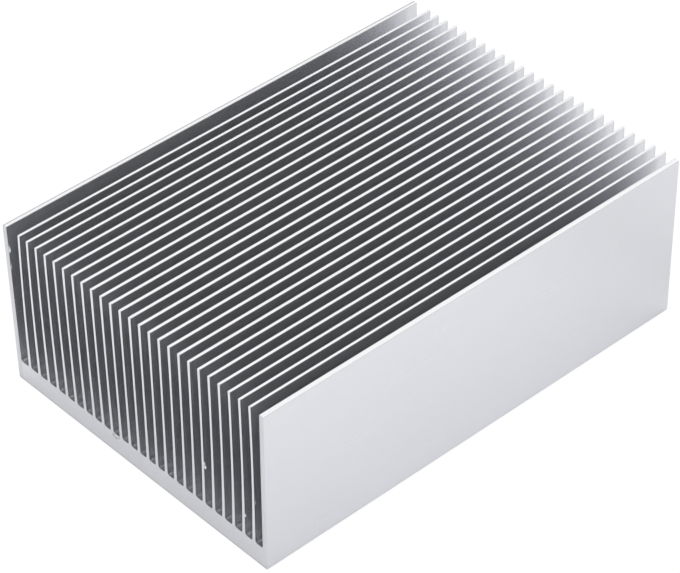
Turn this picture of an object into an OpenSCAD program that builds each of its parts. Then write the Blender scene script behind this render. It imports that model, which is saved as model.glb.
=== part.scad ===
// Extruded aluminium heat sink: a flat base plate that carries a dense comb of thin fins.
// It is one piece. The section is drawn below, pushed along the fins and cut square at both ends.
// The origin is the centre of the underside. X runs across the fins, Y along them and Z up to their tips.

/* [Base plate] */
// Width of the underside, across the fins
base_w = 68.8; // [45:0.1:150]
// Length of the cut piece, along the fins
length = 100; // [20:1:300]
// Thickness of the plate, from the underside to the groove floors
base_t = 4.5; // [2:0.1:12]
// Radius of the two long edges of the underside
base_edge_r = 0.4; // [0.1:0.05:1]

/* [Outer walls] */
// Height of the walls and of every fin, from the underside to the tips
height = 35.7; // [20:0.1:60]
// Thickness of an outer wall at the groove floors
wall_root_t = 1.1; // [0.8:0.05:2]
// Thickness of an outer wall at its tip
wall_tip_t = 1.05; // [0.5:0.05:2]
// How much the outer half of a wall's tip falls away towards the outside
wall_tip_drop = 0.15; // [0:0.05:0.3]
// How far the tip of each outer wall stands out past the base plate
wall_lean = 0.4; // [0:0.05:1]
// Radius along both edges of a wall's tip
wall_tip_r = 0.25; // [0.05:0.05:0.5]

/* [Inner fins] */
// Distance between the roots of neighbouring fins, centre to centre
fin_pitch = 2.56; // [2.3:0.01:6]
// Thickness of an inner fin at its root
fin_root_t = 0.75; // [0.6:0.05:1.2]
// Thickness of an inner fin half way up
fin_mid_t = 0.5; // [0.4:0.05:1]
// Thickness of an inner fin at its tip, in the middle of the row
fin_tip_t = 0.65; // [0.6:0.05:1]
// Radius along both edges of a fin's tip
fin_tip_r = 0.1; // [0.04:0.02:0.4]
// Radius where a fin or a wall meets the groove floor
root_r = 0.4; // [0.1:0.05:0.5]
// Narrowest groove floor allowed between an outer wall and the end fin
edge_gap_min = 1.3; // [1.1:0.1:4]

/* [Drift from the die, all 0 for an ideal section] */
// How far the row of inner fins stands off centre, towards the right wall
row_offset = 0.3; // [-0.4:0.05:0.4]
// How far the end fins lean outwards at their tips, which the fins between them share out evenly
fan_out = 0.3; // [0:0.05:0.6]
// How far the end fins bow outwards half way up, which the fins between them share out evenly
bow_out = 0.2; // [0:0.05:0.4]
// How far the roots stray from even spacing, in one wave across the row
root_wave = 0.3; // [0:0.05:0.4]
// How far the root of the first fin is set out, towards the left wall
first_root_out = 0.3; // [0:0.05:0.6]
// How far the tip of the first fin is pushed in, away from the left wall
first_tip_in = 0.5; // [0:0.05:0.8]
// Share of those two that each fin passes on to the next
passed_on = 0.5; // [0.1:0.05:0.8]
// How much thinner the tips of the end fins are than those in the middle of the row
tip_thinning = 0.1; // [0:0.05:0.2]

/* [Hidden] */

ARC_STEPS = 5;
FIN_STEPS = 8;
// Largest share of a tip's thickness that the radius of each of its edges may take
ROUND_SHARE = 0.45;

base_x = base_w / 2;
floor_x = base_x - wall_root_t;
wall_tip_x = base_x + wall_lean;
row_room = 2 * (floor_x - abs(row_offset) - first_root_out - edge_gap_min) - fin_root_t;
last_fin = floor(row_room / fin_pitch);
wall_round = min(wall_tip_r, ROUND_SHARE * wall_tip_t);

// Fins are counted from 0 at the left. How far fin i stands to the right in its row, from -1 to 1
function place(i) = 2 * i / last_fin - 1;
// What fin i still has of a drift that starts at the first fin
function share(i) = pow(passed_on, i);

// Centre of fin i at its root, at its tip and half way up
function even_x(i) = row_offset + fin_pitch * last_fin / 2 * place(i);
function root_x(i) = even_x(i) - root_wave * sin(180 * place(i)) - first_root_out * share(i);
function tip_x(i) = even_x(i) + fan_out * place(i) + first_tip_in * share(i);
function mid_x(i) = (root_x(i) + tip_x(i)) / 2 + bow_out * place(i);

// Thickness of fin i at its tip
function tip_t(i) = fin_tip_t - tip_thinning * pow(place(i), 2);
function fin_round(i) = min(fin_tip_r, ROUND_SHARE * tip_t(i));

// Value at share s of the way from root to tip, on the parabola through the three values given
function between(root, middle, tip, s) =
    root * (1 - s) * (1 - 2 * s) + middle * 4 * s * (1 - s) + tip * s * (2 * s - 1);

// Corner k of one side of fin i, from 0 at the root to FIN_STEPS at the tip; side is 1 right, -1 left
function fin_corner(i, side, k) =
    let (
        s = k / FIN_STEPS,
        centre = between(root_x(i), mid_x(i), tip_x(i), s),
        thickness = between(fin_root_t, fin_mid_t, tip_t(i), s),
        r = k == 0 ? root_r : k == FIN_STEPS ? fin_round(i) : 0
    )
    [centre + side * thickness / 2, base_t + s * (height - base_t), r];

// Corners of the section, anticlockwise from the left end of the underside, as [x, z, radius]
corners = [
    [-base_x, 0, base_edge_r],
    [base_x, 0, base_edge_r],
    [wall_tip_x, height - wall_tip_drop, wall_round],
    [wall_tip_x - wall_tip_t / 2, height, 0],
    [wall_tip_x - wall_tip_t, height, wall_round],
    [floor_x, base_t, root_r],
    for (i = [last_fin : -1 : 0]) each [
        for (k = [0 : FIN_STEPS]) fin_corner(i, 1, k),
        for (k = [FIN_STEPS : -1 : 0]) fin_corner(i, -1, k),
    ],
    [-floor_x, base_t, root_r],
    [wall_tip_t - wall_tip_x, height, wall_round],
    [wall_tip_t / 2 - wall_tip_x, height, 0],
    [-wall_tip_x, height - wall_tip_drop, wall_round],
];

function flat(corner) = [corner.x, corner.y];
function unit(v) = v / norm(v);
function polar(r, angle) = r * [cos(angle), sin(angle)];

// Arc that rounds a corner and meets both of its edges at a tangent
function rounded(before, corner, after) =
    let (
        back = unit(flat(before) - flat(corner)),
        ahead = unit(flat(after) - flat(corner)),
        half = acos(back * ahead) / 2,
        r = corner.z,
        centre = flat(corner) + unit(back + ahead) * r / sin(half),
        from_centre = flat(corner) + back * r / tan(half) - centre,
        start = atan2(from_centre.y, from_centre.x),
        turn = sign(cross(ahead, back)) * (180 - 2 * half)
    )
    [for (step = [0 : ARC_STEPS]) centre + polar(r, start + turn * step / ARC_STEPS)];

function next(i) = (i + 1) % len(corners);
function previous(i) = (i + len(corners) - 1) % len(corners);

section = [
    for (i = [0 : len(corners) - 1]) each
        corners[i].z == 0
            ? [flat(corners[i])]
            : rounded(corners[previous(i)], corners[i], corners[next(i)])
];

module heat_sink() {
    color("gainsboro")
        translate([0, length / 2, 0])
            rotate([90, 0, 0])
                linear_extrude(length)
                    polygon(section);
}

heat_sink();
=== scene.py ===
"""Looks of the extruded heat sink: its bare aluminium skin, its sawn ends, the light and the camera.

Everything is in metres, in the frame of the CAD model: +X across the fins, +Y along them, +Z up.
"""
import math

import bmesh
import bpy
from mathutils import Matrix, Vector, noise


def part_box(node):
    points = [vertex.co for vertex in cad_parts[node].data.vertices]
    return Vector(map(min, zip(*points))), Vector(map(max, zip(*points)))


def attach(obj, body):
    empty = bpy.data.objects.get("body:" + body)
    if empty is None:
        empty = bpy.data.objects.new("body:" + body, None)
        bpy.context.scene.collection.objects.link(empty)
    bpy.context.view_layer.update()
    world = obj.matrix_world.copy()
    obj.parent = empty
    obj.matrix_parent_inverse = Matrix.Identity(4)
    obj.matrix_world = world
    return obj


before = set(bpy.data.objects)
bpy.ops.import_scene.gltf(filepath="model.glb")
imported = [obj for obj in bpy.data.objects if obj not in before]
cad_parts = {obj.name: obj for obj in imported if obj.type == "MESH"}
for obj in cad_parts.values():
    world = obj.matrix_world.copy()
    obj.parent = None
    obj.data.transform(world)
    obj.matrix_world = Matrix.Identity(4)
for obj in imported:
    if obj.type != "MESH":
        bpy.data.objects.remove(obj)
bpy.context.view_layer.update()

MM = 0.001
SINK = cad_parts["heat_sink"]
LOW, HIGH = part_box("heat_sink")

# Camera, as angles about the origin and a distance from it, then slid to its own right and up
CAMERA_AZIMUTH = math.radians(48.126)
CAMERA_ELEVATION = math.radians(39.96)
CAMERA_ROLL = math.radians(-1.009)
CAMERA_DISTANCE = 581.966 * MM
CAMERA_SLIDE = (-1.239 * MM, 10.463 * MM)
CAMERA_CLIP = 10 * MM
# Blender takes these two in millimetres
SENSOR_WIDTH = 36.0
CAMERA_LENS = 165.93

# Light goes from fin to fin many times before it leaves a groove
BOUNCES = 64
WHITE = (1.0, 1.0, 1.0, 1.0)
# Brightness of the sky from the horizon up, as (sine of the elevation, level)
SKY_RISE = (
    (0.1, 0.33),
    (0.25, 0.48),
    (0.55, 0.88),
    (0.64, 1.08),
    (0.7, 1.1),
    (0.85, 0.95),
)
# Which way the window lies, and what the window and the fill from the right add to the sky
WINDOW_WAY = (-0.57, 0.51, 0.64)
SKY_WINDOW = 0.12
SKY_RIGHT = 0.09

# Paper under the object. The camera and the metal see a shade that takes shadows, with a glow on top
FLOOR_SIZE = 4.0
FLOOR_COLOR = (0.8, 0.8, 0.81, 1.0)
FLOOR_SEEN_SHADE = 0.2
FLOOR_SEEN_GLOW = 0.89
FLOOR_GLOSS_SHADE = 0.85
FLOOR_GLOSS_GLOW = 0.09
FLOOR_GLOSS_TINT = (0.984, 0.989, 1.017, 1.0)
# Painted light and shade on the paper that the metal mirrors, as (y, factor), with a pale pool before
# the near end
FLOOR_PAINTED_LIGHT = (
    (-78 * MM, 1.14),
    (-70 * MM, 1.23),
    (-62 * MM, 1.18),
    (-56 * MM, 1.12),
    (-52 * MM, 0.925),
    (-45 * MM, 1.01),
    (-22 * MM, 1.05),
    (20 * MM, 1.05),
    (36 * MM, 1.03),
    (50 * MM, 0.96),
    (60 * MM, 0.91),
    (66 * MM, 0.92),
    (80 * MM, 0.97),
)

# Aluminium
METAL_COLOR = (0.85, 0.855, 0.871)
METALLIC = 0.945
ROUGHNESS = 0.27
ANISOTROPY = 0.3
# The grain runs along the fins, turned a little so that the gloss of the sawn ends has a direction too
GRAIN_WAY = (0.02, 1.0, 0.0)
# How much a surface faces along the fins to be a sawn end, and the most that a groove's wall faces up
END_FACING = 0.8
FLANK_FACING = 0.5
# Width of the band at each side that holds an outer wall
WALL_BAND = 1.55 * MM
# Die lines run along the fins: how many to a millimetre on each axis, and how strong they are
DIE_LINES = (2.4, 0.02, 2.4)
DIE_SHADE = 0.02
DIE_ROUGHNESS = 0.02
DIE_BUMP = 0.0004 * MM
# How much deeper they are on the floors of the grooves, which lie below this height
GROOVE_LINES = 40.0
GROOVE_TOP = 5.5 * MM
# Brush marks run up the walls of the grooves instead, and fade out this far from the near end
BRUSH_LINES = (0.3, 2.2, 0.1)
BRUSH_SHADE = 0.5
BRUSH_REACH = (1.8 * MM, 2.4 * MM)
# Octaves of noise in the die lines and the brush marks
LINE_DETAIL = 3.0
# Sawn ends
SAW_GRAIN = (1.3, 1.3, 2.2)
SAW_DETAIL = 4.0
SAW_SHADE = 0.14
SAW_LEVEL = 1.0
SAW_ROUGHNESS = 0.36
# Painted shade on the outer walls' cut faces, deeper upwards, as (z, factor), and a little more on the
# left
WALL_END_PAINTED_SHADE = (
    (3.5 * MM, 1.0),
    (7 * MM, 0.9),
    (13 * MM, 0.87),
    (33 * MM, 0.82),
)
WALL_END_PAINTED_SHADE_LEFT = 0.92
# Painted shade on the fins' skin next to the cuts, and on the foot of the ends and sides, as (z, factor)
CUT_SHADE_REACH = 0.35 * MM
CUT_SHADE = 0.14
FOOT_PAINTED_SHADE = (
    (0.0, 0.76),
    (0.3 * MM, 0.88),
    (0.5 * MM, 0.95),
    (0.8 * MM, 1.0),
)
# Pits on the near end and faint spots on the right side, as (x, y, z, radius, shade)
MARKS = (
    (-6.8 * MM, LOW.y, 3.95 * MM, 0.42 * MM, 0.5),
    (-6.2 * MM, LOW.y, 3.55 * MM, 0.4 * MM, 0.45),
    (-5.4 * MM, LOW.y, 4.05 * MM, 0.35 * MM, 0.4),
    (34.7 * MM, -8.2 * MM, 27.5 * MM, 0.5 * MM, 0.03),
    (34.7 * MM, 18.4 * MM, 32.1 * MM, 0.4 * MM, 0.03),
    (34.6 * MM, 17.9 * MM, 20 * MM, 0.5 * MM, 0.03),
    (34.6 * MM, -44.2 * MM, 22.1 * MM, 0.4 * MM, 0.03),
)
# Share of a mark's radius that has its full shade
MARK_CORE = 0.3

# Burrs left on the cut edges of the near end, as (name, x, z, width, height)
BURRS = (
    ("burr_wall_high", -33.62 * MM, 30.4 * MM, 0.45 * MM, 1.7 * MM),
    ("burr_wall_low", -33.66 * MM, 26.4 * MM, 0.26 * MM, 1.1 * MM),
    ("burr_fin_hook", 18.6 * MM, 13.2 * MM, 0.55 * MM, 0.75 * MM),
    ("burr_fin_tail", 18.5 * MM, 14 * MM, 0.26 * MM, 0.7 * MM),
    ("burr_fin_bead", 28.9 * MM, 9 * MM, 0.34 * MM, 0.7 * MM),
    ("burr_fin_ridge", 31.27 * MM, 13.9 * MM, 0.66 * MM, 1.6 * MM),
)
BURR_DEPTH = 0.4 * MM
BURR_SUBDIVISIONS = 3
# Most that a burr swells or shrinks, as a share
BURR_SWELL = 0.25
# How fine its lumps are, and how far its place moves them, so that no two burrs are alike
BURR_LUMPS = 1.5
BURR_SEED = 1000


class Nodes:
    """A short way to write a node tree: each call adds nodes and links or sets their inputs."""

    def __init__(self, tree):
        self.tree = tree
        tree.nodes.clear()

    def add(self, kind, **settings):
        node = self.tree.nodes.new(kind)
        for name, value in settings.items():
            setattr(node, name, value)
        return node

    def link(self, source, target):
        self.tree.links.new(source, target)

    def feed(self, socket, value):
        if isinstance(value, bpy.types.NodeSocket):
            self.link(value, socket)
        else:
            socket.default_value = value

    def math(self, operation, first, second=0.0):
        node = self.add("ShaderNodeMath", operation=operation)
        self.feed(node.inputs[0], first)
        self.feed(node.inputs[1], second)
        return node.outputs[0]

    def vector(self, operation, first, second):
        node = self.add("ShaderNodeVectorMath", operation=operation)
        self.feed(node.inputs[0], first)
        self.feed(node.inputs["Scale" if operation == "SCALE" else 1], second)
        return node.outputs["Value" if operation in ("DOT_PRODUCT", "DISTANCE") else "Vector"]

    def split(self, vector):
        node = self.add("ShaderNodeSeparateXYZ")
        self.link(vector, node.inputs[0])
        return node.outputs[0], node.outputs[1], node.outputs[2]

    def ramp(self, value, start, end, low, high):
        """Value from low at start to high at end, held level past both."""
        node = self.add("ShaderNodeMapRange", clamp=True)
        for socket, number in zip(node.inputs, (value, start, end, low, high)):
            self.feed(socket, number)
        return node.outputs[0]

    def curve(self, value, points):
        """Value read off straight lines between the points, held level past both ends."""
        total = points[0][1]
        for (start, low), (end, high) in zip(points, points[1:]):
            total = self.math("ADD", self.ramp(value, start, end, 0.0, high - low), total)
        return total

    def blend(self, share, first, second):
        """The first value where the share is 0, and the second where it is 1."""
        node = self.add("ShaderNodeMix")
        self.feed(node.inputs["Factor"], share)
        self.feed(node.inputs["A"], first)
        self.feed(node.inputs["B"], second)
        return node.outputs["Result"]

    def noise(self, vector, scale, detail):
        node = self.add("ShaderNodeTexNoise")
        self.link(self.vector("MULTIPLY", vector, scale), node.inputs["Vector"])
        node.inputs["Scale"].default_value = 1.0
        node.inputs["Detail"].default_value = detail
        return node.outputs["Fac"]

    def tint(self, color, factor):
        """A colour times a value that varies over the surface."""
        return self.vector("SCALE", color[:3], factor)

    def paper(self, color):
        node = self.add("ShaderNodeBsdfDiffuse")
        self.feed(node.inputs["Color"], color)
        return node.outputs[0]

    def glow(self, color, strength):
        node = self.add("ShaderNodeEmission")
        self.feed(node.inputs["Color"], color)
        self.feed(node.inputs["Strength"], strength)
        return node.outputs[0]

    def add_shader(self, first, second):
        node = self.add("ShaderNodeAddShader")
        self.link(first, node.inputs[0])
        self.link(second, node.inputs[1])
        return node.outputs[0]

    def mix_shader(self, share, first, second):
        node = self.add("ShaderNodeMixShader")
        self.feed(node.inputs[0], share)
        self.link(first, node.inputs[1])
        self.link(second, node.inputs[2])
        return node.outputs[0]

    def show(self, surface, kind="ShaderNodeOutputMaterial"):
        """Make a shader the result of the whole tree."""
        self.link(surface, self.add(kind).inputs["Surface"])


class Metal(Nodes):
    """The node tree of the metal: where each spot lies, which way it faces and what it belongs to."""

    def __init__(self, tree):
        super().__init__(tree)
        place = self.add("ShaderNodeTexCoord").outputs
        self.normal = place["Normal"]
        self.spot = place["Object"]
        self.spot_in_mm = self.vector("SCALE", self.spot, 1 / MM)
        self.across, self.along, self.up = self.split(self.spot)
        _, facing_along, self.facing_up = self.split(self.normal)
        self.facing_end = self.math("ABSOLUTE", facing_along)
        self.on_end = self.math("GREATER_THAN", self.facing_end, END_FACING)
        self.inside = self.math("LESS_THAN", self.math("ABSOLUTE", self.across), HIGH.x - WALL_BAND)

    def grain(self, scale, detail):
        """Noise about 0, with so many grains to a millimetre on each axis."""
        return self.math("SUBTRACT", self.noise(self.spot_in_mm, scale, detail), 0.5)


def scaled(color, factor):
    """A colour times a number, as the four values that a socket takes."""
    return (color[0] * factor, color[1] * factor, color[2] * factor, 1.0)


def dress(piece, material):
    piece.data.materials.clear()
    piece.data.materials.append(material)


def look_axes(azimuth, elevation, roll):
    """The camera's right, up and backward directions."""
    back = Vector((
        math.sin(azimuth) * math.cos(elevation),
        -math.cos(azimuth) * math.cos(elevation),
        math.sin(elevation),
    ))
    right = Vector((0, 0, 1)).cross(back).normalized()
    up = back.cross(right)
    turned_right = right * math.cos(roll) + up * math.sin(roll)
    turned_up = up * math.cos(roll) - right * math.sin(roll)
    return turned_right, turned_up, back


def make_camera():
    right, up, back = look_axes(CAMERA_AZIMUTH, CAMERA_ELEVATION, CAMERA_ROLL)
    place = right * CAMERA_SLIDE[0] + up * CAMERA_SLIDE[1] + back * CAMERA_DISTANCE
    data = bpy.data.cameras.new("camera")
    data.sensor_fit = "HORIZONTAL"
    data.sensor_width = SENSOR_WIDTH
    data.lens = CAMERA_LENS
    data.clip_start = CAMERA_CLIP
    camera = bpy.data.objects.new("camera", data)
    axes = Matrix((right, up, back)).transposed().to_4x4()
    camera.matrix_world = Matrix.Translation(place) @ axes
    bpy.context.scene.collection.objects.link(camera)
    bpy.context.scene.camera = camera


def make_world():
    """A white sky, dim at the horizon, with a wide window at the back left and a fill from the right."""
    world = bpy.data.worlds.new("studio")
    world.use_nodes = True
    tree = Nodes(world.node_tree)
    way = tree.add("ShaderNodeTexCoord").outputs["Generated"]
    facing = tree.math("MAXIMUM", tree.vector("DOT_PRODUCT", way, WINDOW_WAY), 0.0)
    across, _, height = tree.split(way)
    level = tree.curve(height, SKY_RISE)
    level = tree.math("ADD", tree.math("MULTIPLY", facing, SKY_WINDOW), level)
    level = tree.math("ADD", tree.math("MULTIPLY", tree.math("MAXIMUM", across, 0.0), SKY_RIGHT), level)
    level = tree.math("MAXIMUM", level, tree.add("ShaderNodeLightPath").outputs["Is Camera Ray"])
    sky = tree.add("ShaderNodeBackground")
    sky.inputs["Color"].default_value = WHITE
    tree.link(level, sky.inputs["Strength"])
    tree.show(sky.outputs[0], "ShaderNodeOutputWorld")
    bpy.context.scene.world = world


def floor_paper():
    """Pale paper that the camera sees as white, with the object's soft shadow kept."""
    material = bpy.data.materials.new("floor_paper")
    material.use_nodes = True
    tree = Nodes(material.node_tree)
    path = tree.add("ShaderNodeLightPath").outputs
    plain = tree.paper(FLOOR_COLOR)
    seen = tree.add_shader(
        tree.paper(scaled(FLOOR_COLOR, FLOOR_SEEN_SHADE)),
        tree.glow(WHITE, FLOOR_SEEN_GLOW),
    )
    _, along, _ = tree.split(tree.add("ShaderNodeTexCoord").outputs["Object"])
    # Painted pool of light and painted shade on the paper, seen only by the metal
    painted_light = tree.curve(along, FLOOR_PAINTED_LIGHT)
    mirrored = tree.add_shader(
        tree.paper(tree.tint(scaled(FLOOR_GLOSS_TINT, FLOOR_GLOSS_SHADE), painted_light)),
        tree.glow(tree.tint(scaled(FLOOR_GLOSS_TINT, FLOOR_GLOSS_GLOW), painted_light), 1.0),
    )
    gloss = tree.math("MAXIMUM", path["Is Glossy Ray"], path["Is Transmission Ray"])
    surface = tree.mix_shader(gloss, plain, mirrored)
    tree.show(tree.mix_shader(path["Is Camera Ray"], surface, seen))
    return material


def make_floor():
    half = FLOOR_SIZE / 2
    mesh = bpy.data.meshes.new("floor")
    corners = [(x, y, LOW.z) for x, y in ((-half, -half), (half, -half), (half, half), (-half, half))]
    mesh.from_pydata(corners, [], [(0, 1, 2, 3)])
    floor = bpy.data.objects.new("floor", mesh)
    bpy.context.scene.collection.objects.link(floor)
    dress(floor, floor_paper())


def skin_lines(tree):
    """Brush marks on the walls of the grooves by the near end, and the die lines everywhere else."""
    flank = tree.math("MULTIPLY", tree.math("LESS_THAN", tree.facing_up, FLANK_FACING), tree.inside)
    from_near_end = tree.math("SUBTRACT", tree.along, LOW.y)
    brushed = tree.math("MULTIPLY", tree.ramp(from_near_end, *BRUSH_REACH, 1.0, 0.0), flank)
    brush = tree.math("MULTIPLY", tree.grain(BRUSH_LINES, LINE_DETAIL), brushed)
    unbrushed = tree.math("SUBTRACT", 1.0, brushed)
    die = tree.math("MULTIPLY", tree.grain(DIE_LINES, LINE_DETAIL), unbrushed)
    return brush, die


def skin_level(tree, brush, die, brush_and_cut_shade):
    """Brightness of the extruded skin, with painted shade next to the cuts."""
    level = tree.math("ADD", tree.math("MULTIPLY", die, DIE_SHADE), 1.0)
    level = tree.math("ADD", tree.math("MULTIPLY", brush, brush_and_cut_shade * BRUSH_SHADE), level)
    from_cut = tree.math("SUBTRACT", HIGH.y, tree.math("ABSOLUTE", tree.along))
    # Painted shade on the skin next to the cuts
    cut_shade = tree.ramp(from_cut, 0.0, CUT_SHADE_REACH, 1.0 - brush_and_cut_shade * CUT_SHADE, 1.0)
    skin = tree.math("MULTIPLY", tree.math("LESS_THAN", tree.facing_end, 1 - END_FACING), tree.inside)
    return tree.math("MULTIPLY", tree.blend(skin, 1.0, cut_shade), level)


def cut_level(tree):
    """Brightness of the sawn ends, mottled by the saw, with painted shade on the outer walls."""
    saw = tree.math("MULTIPLY", tree.grain(SAW_GRAIN, SAW_DETAIL), SAW_SHADE)
    level = tree.math("ADD", saw, SAW_LEVEL)
    sides = tree.ramp(tree.across, LOW.x, HIGH.x, WALL_END_PAINTED_SHADE_LEFT, 1.0)
    # Painted shade on the outer walls' cut faces
    painted_wall_shade = tree.math("MULTIPLY", tree.curve(tree.up, WALL_END_PAINTED_SHADE), sides)
    return tree.math("MULTIPLY", tree.blend(tree.inside, painted_wall_shade, 1.0), level)


def painted_foot_shade(tree):
    """Painted shade at the foot: the bottom of the ends and sides is darker, but not the underside."""
    under = tree.math("LESS_THAN", tree.facing_up, -END_FACING)
    return tree.blend(under, tree.curve(tree.up, FOOT_PAINTED_SHADE), 1.0)


def marked(tree, level):
    """The brightness given, darkened at the pits and faint spots."""
    for x, y, z, radius, shade in MARKS:
        reach = tree.vector("DISTANCE", tree.spot, (x, y, z))
        darker = tree.ramp(reach, MARK_CORE * radius, radius, 1.0 - shade, 1.0)
        level = tree.math("MULTIPLY", darker, level)
    return level


def relief(tree, die):
    """A bump of die lines, deeper on the floors of the grooves. The sawn ends have none."""
    low = tree.math("LESS_THAN", tree.up, GROOVE_TOP)
    floor = tree.math("MULTIPLY", tree.math("GREATER_THAN", tree.facing_up, 0.0), low)
    deeper = tree.math("MULTIPLY", tree.blend(floor, 1.0, GROOVE_LINES), die)
    bump = tree.add("ShaderNodeBump")
    bump.inputs["Distance"].default_value = DIE_BUMP
    tree.link(tree.blend(tree.on_end, deeper, 0.0), bump.inputs["Height"])
    return bump.outputs[0]


def aluminium(name, brush_and_cut_shade):
    """Bare extruded metal with sawn ends, and a share of brush marks and painted shade by the cuts."""
    material = bpy.data.materials.new(name)
    material.use_nodes = True
    tree = Metal(material.node_tree)
    brush, die = skin_lines(tree)
    level = tree.blend(tree.on_end, skin_level(tree, brush, die, brush_and_cut_shade), cut_level(tree))
    # Painted shade at the foot, then the pits and faint spots
    level = marked(tree, tree.math("MULTIPLY", painted_foot_shade(tree), level))
    skin_roughness = tree.math("ADD", tree.math("MULTIPLY", die, DIE_ROUGHNESS), ROUGHNESS)
    shader = tree.add("ShaderNodeBsdfPrincipled")
    shader.inputs["Metallic"].default_value = METALLIC
    shader.inputs["Anisotropic"].default_value = ANISOTROPY
    tree.link(tree.tint(METAL_COLOR, level), shader.inputs["Base Color"])
    tree.link(tree.blend(tree.on_end, skin_roughness, SAW_ROUGHNESS), shader.inputs["Roughness"])
    tree.link(tree.vector("CROSS_PRODUCT", tree.normal, GRAIN_WAY), shader.inputs["Tangent"])
    tree.link(relief(tree, die), shader.inputs["Normal"])
    tree.show(shader.outputs[0])
    return material


def make_burr(name, x, z, width, height, material):
    """A small uneven lump of metal on the near end's cut edge, inside the box of the heat sink."""
    seed = Vector((BURR_SEED * x, BURR_SEED * z, 0))
    size = Vector((width, BURR_DEPTH, height)) / 2
    centre = Vector(((LOW.x + HIGH.x) / 2 + x, LOW.y + size.y * (1 + BURR_SWELL), LOW.z + z))
    shape = bmesh.new()
    bmesh.ops.create_icosphere(shape, subdivisions=BURR_SUBDIVISIONS, radius=1.0)
    for vertex in shape.verts:
        swell = 1 + BURR_SWELL * noise.noise(vertex.co * BURR_LUMPS + seed)
        vertex.co = centre + vertex.co * size * swell
    for face in shape.faces:
        face.smooth = True
    mesh = bpy.data.meshes.new(name)
    shape.to_mesh(mesh)
    shape.free()
    burr = bpy.data.objects.new(name, mesh)
    bpy.context.scene.collection.objects.link(burr)
    dress(burr, material)
    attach(burr, "root")


scene = bpy.context.scene
scene.view_settings.view_transform = "Standard"
scene.cycles.max_bounces = BOUNCES
scene.cycles.glossy_bounces = BOUNCES
make_camera()
make_world()
make_floor()
dress(SINK, aluminium("aluminium_skin", 1.0))
torn = aluminium("torn_aluminium", 0.0)
for burr in BURRS:
    make_burr(*burr, torn)
